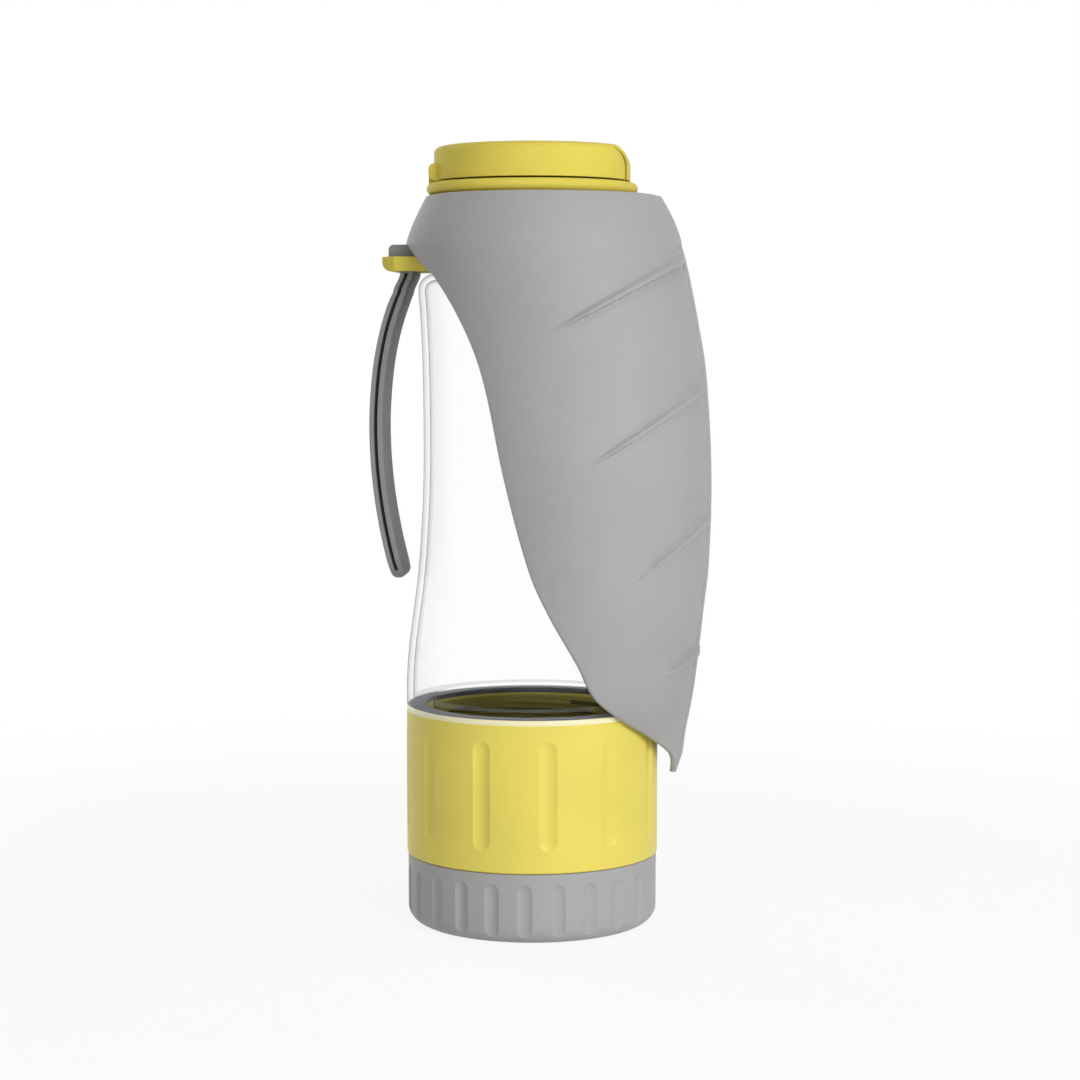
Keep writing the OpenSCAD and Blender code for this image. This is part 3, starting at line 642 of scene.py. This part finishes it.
def cutLipGroove(lid):
    steps, profile = lipGroove["steps"], []
    for radius, turns in ((lipGroove["inner"], range(steps, -1, -1)), (lipGroove["outer"], range(steps + 1))):
        arc = [(lipGroove["centreX"] + radius * cos(pi / 2 * i / steps),
                lipGroove["centreZ"] + radius * sin(pi / 2 * i / steps)) for i in turns]
        foot = (lipGroove["centreX"] + radius, lipGroove["low"])
        profile += arc + [foot] if turns[0] else [foot] + arc
    tool = makeOutline("lipGrooveTool", profile, -lipGroove["halfWidth"])
    extrudeAlongY(tool, 2 * lipGroove["halfWidth"])
    deselectAll()
    bpy.ops.mesh.primitive_cylinder_add(vertices=lipGroove["coreSides"], radius=lipGroove["floorR"],
                                        depth=lipGroove["coreHeight"], location=(0, 0, lipGroove["centreZ"]))
    core = named("lipGrooveCore")
    addModifier(tool, "BOOLEAN", operation="DIFFERENCE", solver="EXACT", object=core)
    addModifier(lid, "BOOLEAN", operation="DIFFERENCE", solver="EXACT", object=tool)
    deselectAll()
    tool.select_set(True)
    core.select_set(True)
    bpy.ops.object.delete()


def softenedCopy(solid, name, body, slotName, radius):
    pick(nodes[solid])
    bpy.ops.object.duplicate()
    piece = named(name)
    for key in list(piece.keys()):
        del piece[key]
    world = piece.matrix_world.copy()
    piece.parent = None
    piece.matrix_world = world
    applyPlace(piece)
    editAll(piece, mergeDoubles,
            lambda: bpy.ops.mesh.dissolve_limited(angle_limit=radians(edgeRounding["flatTo"])))
    addModifier(piece, "BEVEL", width=radius * mm, segments=edgeRounding["steps"], limit_method="ANGLE",
                angle_limit=radians(edgeRounding["sharpFrom"]), harden_normals=False)
    if solid == "lid":
        cutLipGroove(piece)
    smoothShade(piece, 30)
    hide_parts(solid)
    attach(piece, body)


for row in softEdges:
    softenedCopy(*row)
print("moulded pieces done")


# Rings turned about the bottle's axis from a closed profile of radius and height
def makeRing(name, profile, material, body, solid=None, around=200):
    ring = makeOutline(name, [(radius * mm, z * mm) for radius, z in profile], filled=False)
    addModifier(ring, "SCREW", angle=2 * pi, screw_offset=0, steps=around, render_steps=around,
                use_merge_vertices=True, merge_threshold=0.00002)
    editAll(ring, facesOutward)
    smoothShade(ring, 40)
    dress(ring, material)
    if solid:
        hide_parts(solid)
    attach(ring, body)


# Profile of a ring with rounded corners, lower left to upper right
def roundedBox(inner, outer, low, high, edge, steps=5):
    corners = [(outer - edge, low + edge, -90), (outer - edge, high - edge, 0),
               (inner + edge, high - edge, 90), (inner + edge, low + edge, 180)]
    return [(x + edge * cos(radians(start + 90 * i / steps)), z + edge * sin(radians(start + 90 * i / steps)))
            for x, z, start in corners for i in range(steps + 1)]


# the light line on the container's rim, a glossy rounded ring whose pale cream tone is also a painted highlight, and
# the dark seal inside it, in mm
rims = {"inner": 34.3, "outer": 35.15, "low": 59.6, "high": 61.2, "edge": 0.4,
        "sealInner": 29.8, "sealOuter": 34.2, "sealLow": 59.9, "sealHigh": 61.35, "sealEdge": 0.3}
makeRing("containerRim", roundedBox(rims["inner"], rims["outer"], rims["low"], rims["high"], rims["edge"]),
         rimPaintedHighlight, "container")
makeRing("footSeal", roundedBox(rims["sealInner"], rims["sealOuter"], rims["sealLow"], rims["sealHigh"],
                                rims["sealEdge"]), darkSilicone, "foot_gasket", "container_seal")
print("rings done")


# Ears of the lid's hinge, which cover the ends of the pin: low side round about the pin, upper side squarer
hinge = {
    "x": -25.3 * mm, "z": 208.5 * mm, "inner": 5.35 * mm, "outer": 10.2 * mm, "low": 2.45 * mm,
    "grow": 0.03 * mm, "square": 3.2, "lowFrom": -80, "front": 2.2 * mm, "steps": 14,
    "growSteps": 4, "edge": 0.3 * mm, "pinR": 1.1 * mm, "pinLength": 18.6 * mm, "pinEdge": 0.2 * mm,
}


def earOutline():
    steps, points = hinge["steps"], []
    for i in range(steps + 1):
        turn = radians(hinge["lowFrom"] - (180 + hinge["lowFrom"]) * i / steps)
        points.append((hinge["low"] * cos(turn), hinge["low"] * sin(turn)))
    for i in range(1, steps + 1):
        # a square with rounded corners that grows out of the circle
        turn = radians(180 - 90 * i / steps)
        reach = (abs(cos(turn)) ** hinge["square"] + abs(sin(turn)) ** hinge["square"]) ** (-1 / hinge["square"])
        size = hinge["low"] + hinge["grow"] * smoothStep(0, hinge["growSteps"], i)
        points.append((size * reach * cos(turn), size * reach * sin(turn)))
    points += [(hinge["front"], points[-1][1]), (hinge["front"], points[0][1])]
    return [(hinge["x"] + x, hinge["z"] + z) for x, z in points]


def makeHinge():
    parts = []
    for side in (-1, 1):
        ear = makeOutline("hingeEars", earOutline(), side * hinge["inner"])
        extrudeAlongY(ear, side * (hinge["outer"] - hinge["inner"]))
        parts.append(ear)
    ears = joinAll(parts)
    addModifier(ears, "BEVEL", width=hinge["edge"], segments=3, limit_method="ANGLE", angle_limit=radians(50),
                harden_normals=False)
    smoothShade(ears, 35)
    dress(ears, deepYellow)
    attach(ears, "lid")
    deselectAll()
    bpy.ops.mesh.primitive_cylinder_add(vertices=48, radius=hinge["pinR"], depth=hinge["pinLength"],
                                        location=(hinge["x"], 0, hinge["z"]), rotation=(radians(90), 0, 0))
    pin = named("hingePin")
    applyPlace(pin)
    addModifier(pin, "BEVEL", width=hinge["pinEdge"], segments=2, limit_method="ANGLE", angle_limit=radians(50))
    smoothShade(pin, 40)
    dress(pin, pinSteel)
    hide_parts("lid_pin")
    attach(pin, "cap")


makeHinge()
print("hinge done")


# Hand strap: head, neck and the two layers of the loop in one moulding
strap = {
    "slotX": -33.9 * mm, "pivotX": -34.982 * mm, "pivotZ": 175.5 * mm, "length": 79 * mm, "width": 19 * mm,
    "outer": 1.2 * mm, "slit": 1.0 * mm, "inner": 1.4 * mm, "bow": 7.7 * mm, "peak": 0.46,
    "upper": 0.46, "lower": 0.6, "tabTop": 185.6 * mm, "headH": 3.3 * mm, "headHalf": 5 * mm,
    "headEdge": 1.4 * mm, "neckHalf": 1.7 * mm, "neckTop": 185.0 * mm, "slitTop": 181.3 * mm,
    "slitFoot": 3.0 * mm, "lean": 1.15 * mm, "leanFrom": 181.5 * mm, "leanIn": 5.5 * mm,
    "leanBack": 175 * mm, "leanOut": 32 * mm, "headRise": 0.05 * mm, "slitCover": 0.4 * mm, "swingEnd": 1.25,
    "tiltFrom": 0.06, "tipGap": 0.25, "tipR": 6.5 * mm,
    "edge": 0.38 * mm, "rows": 110, "headRows": 6, "neckRows": 6, "swingRows": 10, "tipRows": 8,
}


# The strap leans outwards right below the tab
def strapLean(z):
    out = smoothStep(0, strap["leanIn"], strap["leanFrom"] - z)
    return strap["lean"] * out * (1 - smoothStep(0, strap["leanOut"], strap["leanBack"] - z))


def strapX(u):
    peak, side = strap["peak"], strap["upper"] if u < strap["peak"] else strap["lower"]
    flat = 1 - ((u - peak) / side) ** 2
    lean = strapLean(strap["pivotZ"] - strap["length"] * u)
    return strap["pivotX"] - (strap["outer"] + strap["slit"] + strap["inner"]) / 2 - strap["bow"] * flat - lean


# Rows of four points across the strap, from the head's top to the tip
def strapRows():
    full = strap["outer"] + strap["slit"] + strap["inner"]
    cuts = (0.0, strap["outer"] / full, (strap["outer"] + strap["slit"]) / full, 1.0)
    rows = []

    def addRow(centre, half, tilt=0.0):
        rows.append([Vector((centre[0] + (2 * c - 1) * half * cos(tilt), 0,
                             centre[1] + (2 * c - 1) * half * sin(tilt))) for c in cuts])

    top = strap["tabTop"] + strap["headH"]
    for i in range(strap["headRows"] + 1):
        turn = pi / 2 * i / strap["headRows"]
        addRow((strap["slotX"], top - strap["headEdge"] * (1 - cos(turn))),
               strap["headHalf"] - strap["headEdge"] * (1 - sin(turn)))
    # the head's underside rises a little towards the neck, hidden in the slot
    addRow((strap["slotX"], strap["tabTop"] + strap["headRise"]), strap["headHalf"])
    neckEnd = strap["slitTop"] + strap["slitCover"]
    for i in range(strap["neckRows"] + 1):
        z = strap["neckTop"] + (neckEnd - strap["neckTop"]) * i / strap["neckRows"]
        addRow((strap["slotX"], z), strap["neckHalf"])
    # from the slot down to the pivot the strap swings over to the loop's own line
    for i in range(1, strap["swingRows"] + 1):
        k = i / strap["swingRows"]
        z = neckEnd + (strap["pivotZ"] - neckEnd) * k
        x = strap["slotX"] + (strap["pivotX"] - strap["slotX"]) * smoothStep(0, strap["swingEnd"], k) - strapLean(z)
        addRow((x, z), strap["neckHalf"] + (full / 2 - strap["neckHalf"]) * k)
    endShare, step = 1 - full / 2 / strap["length"], 0.01
    for i in range(1, strap["rows"] + 1):
        u = endShare * i / strap["rows"]
        tilt = atan((strapX(u + step) - strapX(u - step)) / (2 * step * strap["length"]))
        tilt *= smoothStep(0, strap["tiltFrom"], u)
        addRow((strapX(u) + full / 2, strap["pivotZ"] - strap["length"] * u), full / 2, tilt)
    # round end
    along = rows[-1][3] - rows[-1][0]
    down = Vector((along.z, 0, -along.x)).normalized()
    if down.z > 0:
        down = -down
    middle, unit = (rows[-1][0] + rows[-1][3]) / 2, along.normalized()
    for i in range(1, strap["tipRows"] + 1):
        # the last row stays a little open, so that no face has a zero edge
        turn = pi / 2 * i / (strap["tipRows"] + strap["tipGap"])
        centre = middle + down * (full / 2 * sin(turn))
        rows.append([centre + unit * (2 * c - 1) * full / 2 * cos(turn) for c in cuts])
    return rows


def makeStrap():
    rows = strapRows()
    last = len(rows) - 1
    # open slit between the two layers, as heights of its two ends
    slitFoot = rows[-1][0].z + strap["slitFoot"]
    band = makeGrid("handStrap", 3, last)
    bpy.ops.object.mode_set(mode="EDIT")
    bpy.ops.mesh.select_all(action="DESELECT")
    bpy.ops.object.mode_set(mode="OBJECT")
    for face in band.data.polygons:
        upper = last - round((face.center.y + 0.5) * last + 0.5)
        face.select = abs(face.center.x) < 0.1 and slitFoot < rows[upper][1].z < strap["slitTop"]
    for vertex in band.data.vertices:
        row = last - round((vertex.co.y + 0.5) * last)
        vertex.co = rows[row][round((vertex.co.x + 0.5) * 3)]
    bpy.ops.object.mode_set(mode="EDIT")
    bpy.ops.mesh.delete(type="FACE")
    bpy.ops.object.mode_set(mode="OBJECT")
    addModifier(band, "SOLIDIFY", thickness=strap["width"], offset=0.0)
    # the two corners of the tip are rounded
    tipR, tipZ = strap["tipR"], min(vertex.co.z for vertex in band.data.vertices)
    for vertex in band.data.vertices:
        above = vertex.co.z - tipZ
        if above < tipR:
            pulled = tipR - sqrt(tipR ** 2 - (tipR - above) ** 2)
            vertex.co.y *= 1 - pulled / (strap["width"] / 2)
    editAll(band, facesOutward)
    addModifier(band, "BEVEL", width=strap["edge"], segments=3, limit_method="ANGLE",
                angle_limit=radians(50), harden_normals=False)
    smoothShade(band, 40)
    dress(band, strapSilicone)
    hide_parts("strap_head", "strap_loop")
    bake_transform(band)


makeStrap()
print("strap done")


# Screw threads: two-start ridges that run out into the wall at both ends
threads = {"lead": 6.0 * mm, "starts": 2, "foot": 0.15 * mm, "stepsPerTurn": 120, "fadeTurns": 0.12,
           # half a ridge above its foot: share of the height, share of the width from the middle
           "flank": [(0.75, 0.24), (1.0, 0.16)]}
threadPlaces = [
    # name, wall radius, height (negative stands inwards), width, lowest z, turns, body, slot, material
    ("neckThread", 24.4, 0.95, 1.5, 184.6, 1.6, "bottle", "clear_plastic", clearBottle),
    ("capThread", 25.6, -0.9, 1.4, 186.2, 1.4, "cap", "yellow_plastic", deepYellow),
    ("footThread", 29.7, 0.5, 1.3, 50.2, 1.2, "bottle", "clear_plastic", clearBottle),
    ("containerThread", 30.3, -0.55, 1.6, 49.4, 1.35, "container", "yellow_plastic", yellowPlastic),
    ("spigotThread", 32.3, 0.5, 1.3, 5.2, 1.7, "container", "yellow_plastic", yellowPlastic),
    ("baseThread", 32.9, -0.5, 1.2, 6.6, 1.6, "base", "grey_plastic", greyPlastic),
]


def makeThread(name, radius, high, width, lowZ, turns, body, slotName, material):
    parts, steps = [], round(threads["stepsPerTurn"] * turns)
    foot = -threads["foot"] if high > 0 else threads["foot"]
    below = [(high * mm * rise, -off) for rise, off in threads["flank"]]
    shape = [(foot, -0.5)] + below + [(out, -off) for out, off in reversed(below)] + [(foot, 0.5)]
    for start in range(threads["starts"]):
        ridge = makeOutline(name, [(radius * mm + out, (lowZ + width * up) * mm) for out, up in shape], filled=False)
        addModifier(ridge, "SCREW", angle=2 * pi * turns, screw_offset=threads["lead"] * turns,
                    steps=steps, render_steps=steps, use_merge_vertices=False)
        count = len(ridge.data.vertices) // len(shape)
        for index, vertex in enumerate(ridge.data.vertices):
            # both ends of the ridge run out into the wall
            along = (index // len(shape)) / (count - 1) * turns
            fade = smoothStep(0, threads["fadeTurns"], min(along, turns - along))
            flat = Vector((vertex.co.x, vertex.co.y, 0))
            rest = radius * mm + foot
            flat.length = rest + (flat.length - rest) * fade
            vertex.co = (flat.x, flat.y, vertex.co.z)
        ridge.data.transform(Matrix.Rotation(2 * pi * start / threads["starts"], 4, "Z"))
        parts.append(ridge)
    thread = joinAll(parts)
    closeOpenEdges(thread, bpy.ops.mesh.fill)
    smoothShade(thread, 30)
    dress(thread, material)
    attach(thread, body)


for place in threadPlaces:
    makeThread(*place)
print("threads done")


# Floor and background, both pale and plain: seen directly they are white, but they give less light than that
floor = {"size": 6.0, "drop": 0.2 * mm, "tone": 0.86, "darker": 0.99, "fibres": 60, "roughness": 0.9,
         "ownWhite": 0.89, "whiteFrom": 0.16, "whiteAt": 0.42}
world = {"strength": 0.345}


# 1 for rays that come straight from the camera, or from it by a gloss or through the clear bottle
def directRays(tree):
    path = tree.nodes.new("ShaderNodeLightPath")
    total = path.outputs["Is Camera Ray"]
    for ray in ("Is Glossy Ray", "Is Transmission Ray"):
        larger = tree.nodes.new("ShaderNodeMath")
        larger.operation = "MAXIMUM"
        tree.links.new(total, larger.inputs[0])
        tree.links.new(path.outputs[ray], larger.inputs[1])
        total = larger.outputs[0]
    return total


def mixShaders(tree, factor, first, second, target):
    mix = tree.nodes.new("ShaderNodeMixShader")
    tree.links.new(factor, mix.inputs["Fac"])
    tree.links.new(first, mix.inputs[1])
    tree.links.new(second, mix.inputs[2])
    tree.links.new(mix.outputs[0], target.inputs["Surface"])


def makeStage():
    deselectAll()
    bpy.ops.mesh.primitive_plane_add(size=floor["size"], location=(0, 0, -floor["drop"]))
    ground = named("paleFloor")
    applyPlace(ground)
    material, tree, shader = newMaterial("paleFloorPaper")
    fibres = noiseTexture(tree, floor["fibres"], 3.0).outputs["Fac"]
    cloudyColour(tree, shader, fibres, (floor["tone"],) * 3, floor["darker"], 1.0)
    shader.inputs["Roughness"].default_value = floor["roughness"]
    white = tree.nodes.new("ShaderNodeEmission")
    # near the object the floor keeps some of its own shade, further off it is as white as the background
    coords = tree.nodes.new("ShaderNodeTexCoord")
    away = tree.nodes.new("ShaderNodeVectorMath")
    away.operation = "LENGTH"
    spread = tree.nodes.new("ShaderNodeMapRange")
    spread.interpolation_type = "SMOOTHSTEP"
    spread.inputs["From Min"].default_value = floor["whiteFrom"]
    spread.inputs["From Max"].default_value = floor["whiteAt"]
    spread.inputs["To Min"].default_value = floor["ownWhite"]
    spread.inputs["To Max"].default_value = 1.0
    tree.links.new(coords.outputs["Object"], away.inputs[0])
    tree.links.new(away.outputs["Value"], spread.inputs["Value"])
    amount = tree.nodes.new("ShaderNodeMath")
    amount.operation = "MULTIPLY"
    tree.links.new(directRays(tree), amount.inputs[0])
    tree.links.new(spread.outputs["Result"], amount.inputs[1])
    mixShaders(tree, amount.outputs[0], shader.outputs["BSDF"], white.outputs["Emission"],
               tree.nodes["Material Output"])
    dress(ground, material)


def makeWorld():
    scene = bpy.context.scene
    scene.world = scene.world or bpy.data.worlds.new("studio")
    scene.world.use_nodes = True
    tree = scene.world.node_tree
    tree.nodes.clear()
    rooms = []
    for strength in (world["strength"], 1.0):
        room = tree.nodes.new("ShaderNodeBackground")
        room.inputs["Color"].default_value = (1, 1, 1, 1)
        room.inputs["Strength"].default_value = strength
        rooms.append(room.outputs[0])
    mixShaders(tree, directRays(tree), *rooms, tree.nodes.new("ShaderNodeOutputWorld"))


makeStage()
makeWorld()
bpy.context.scene.view_settings.view_transform = "Standard"
print("stage done")
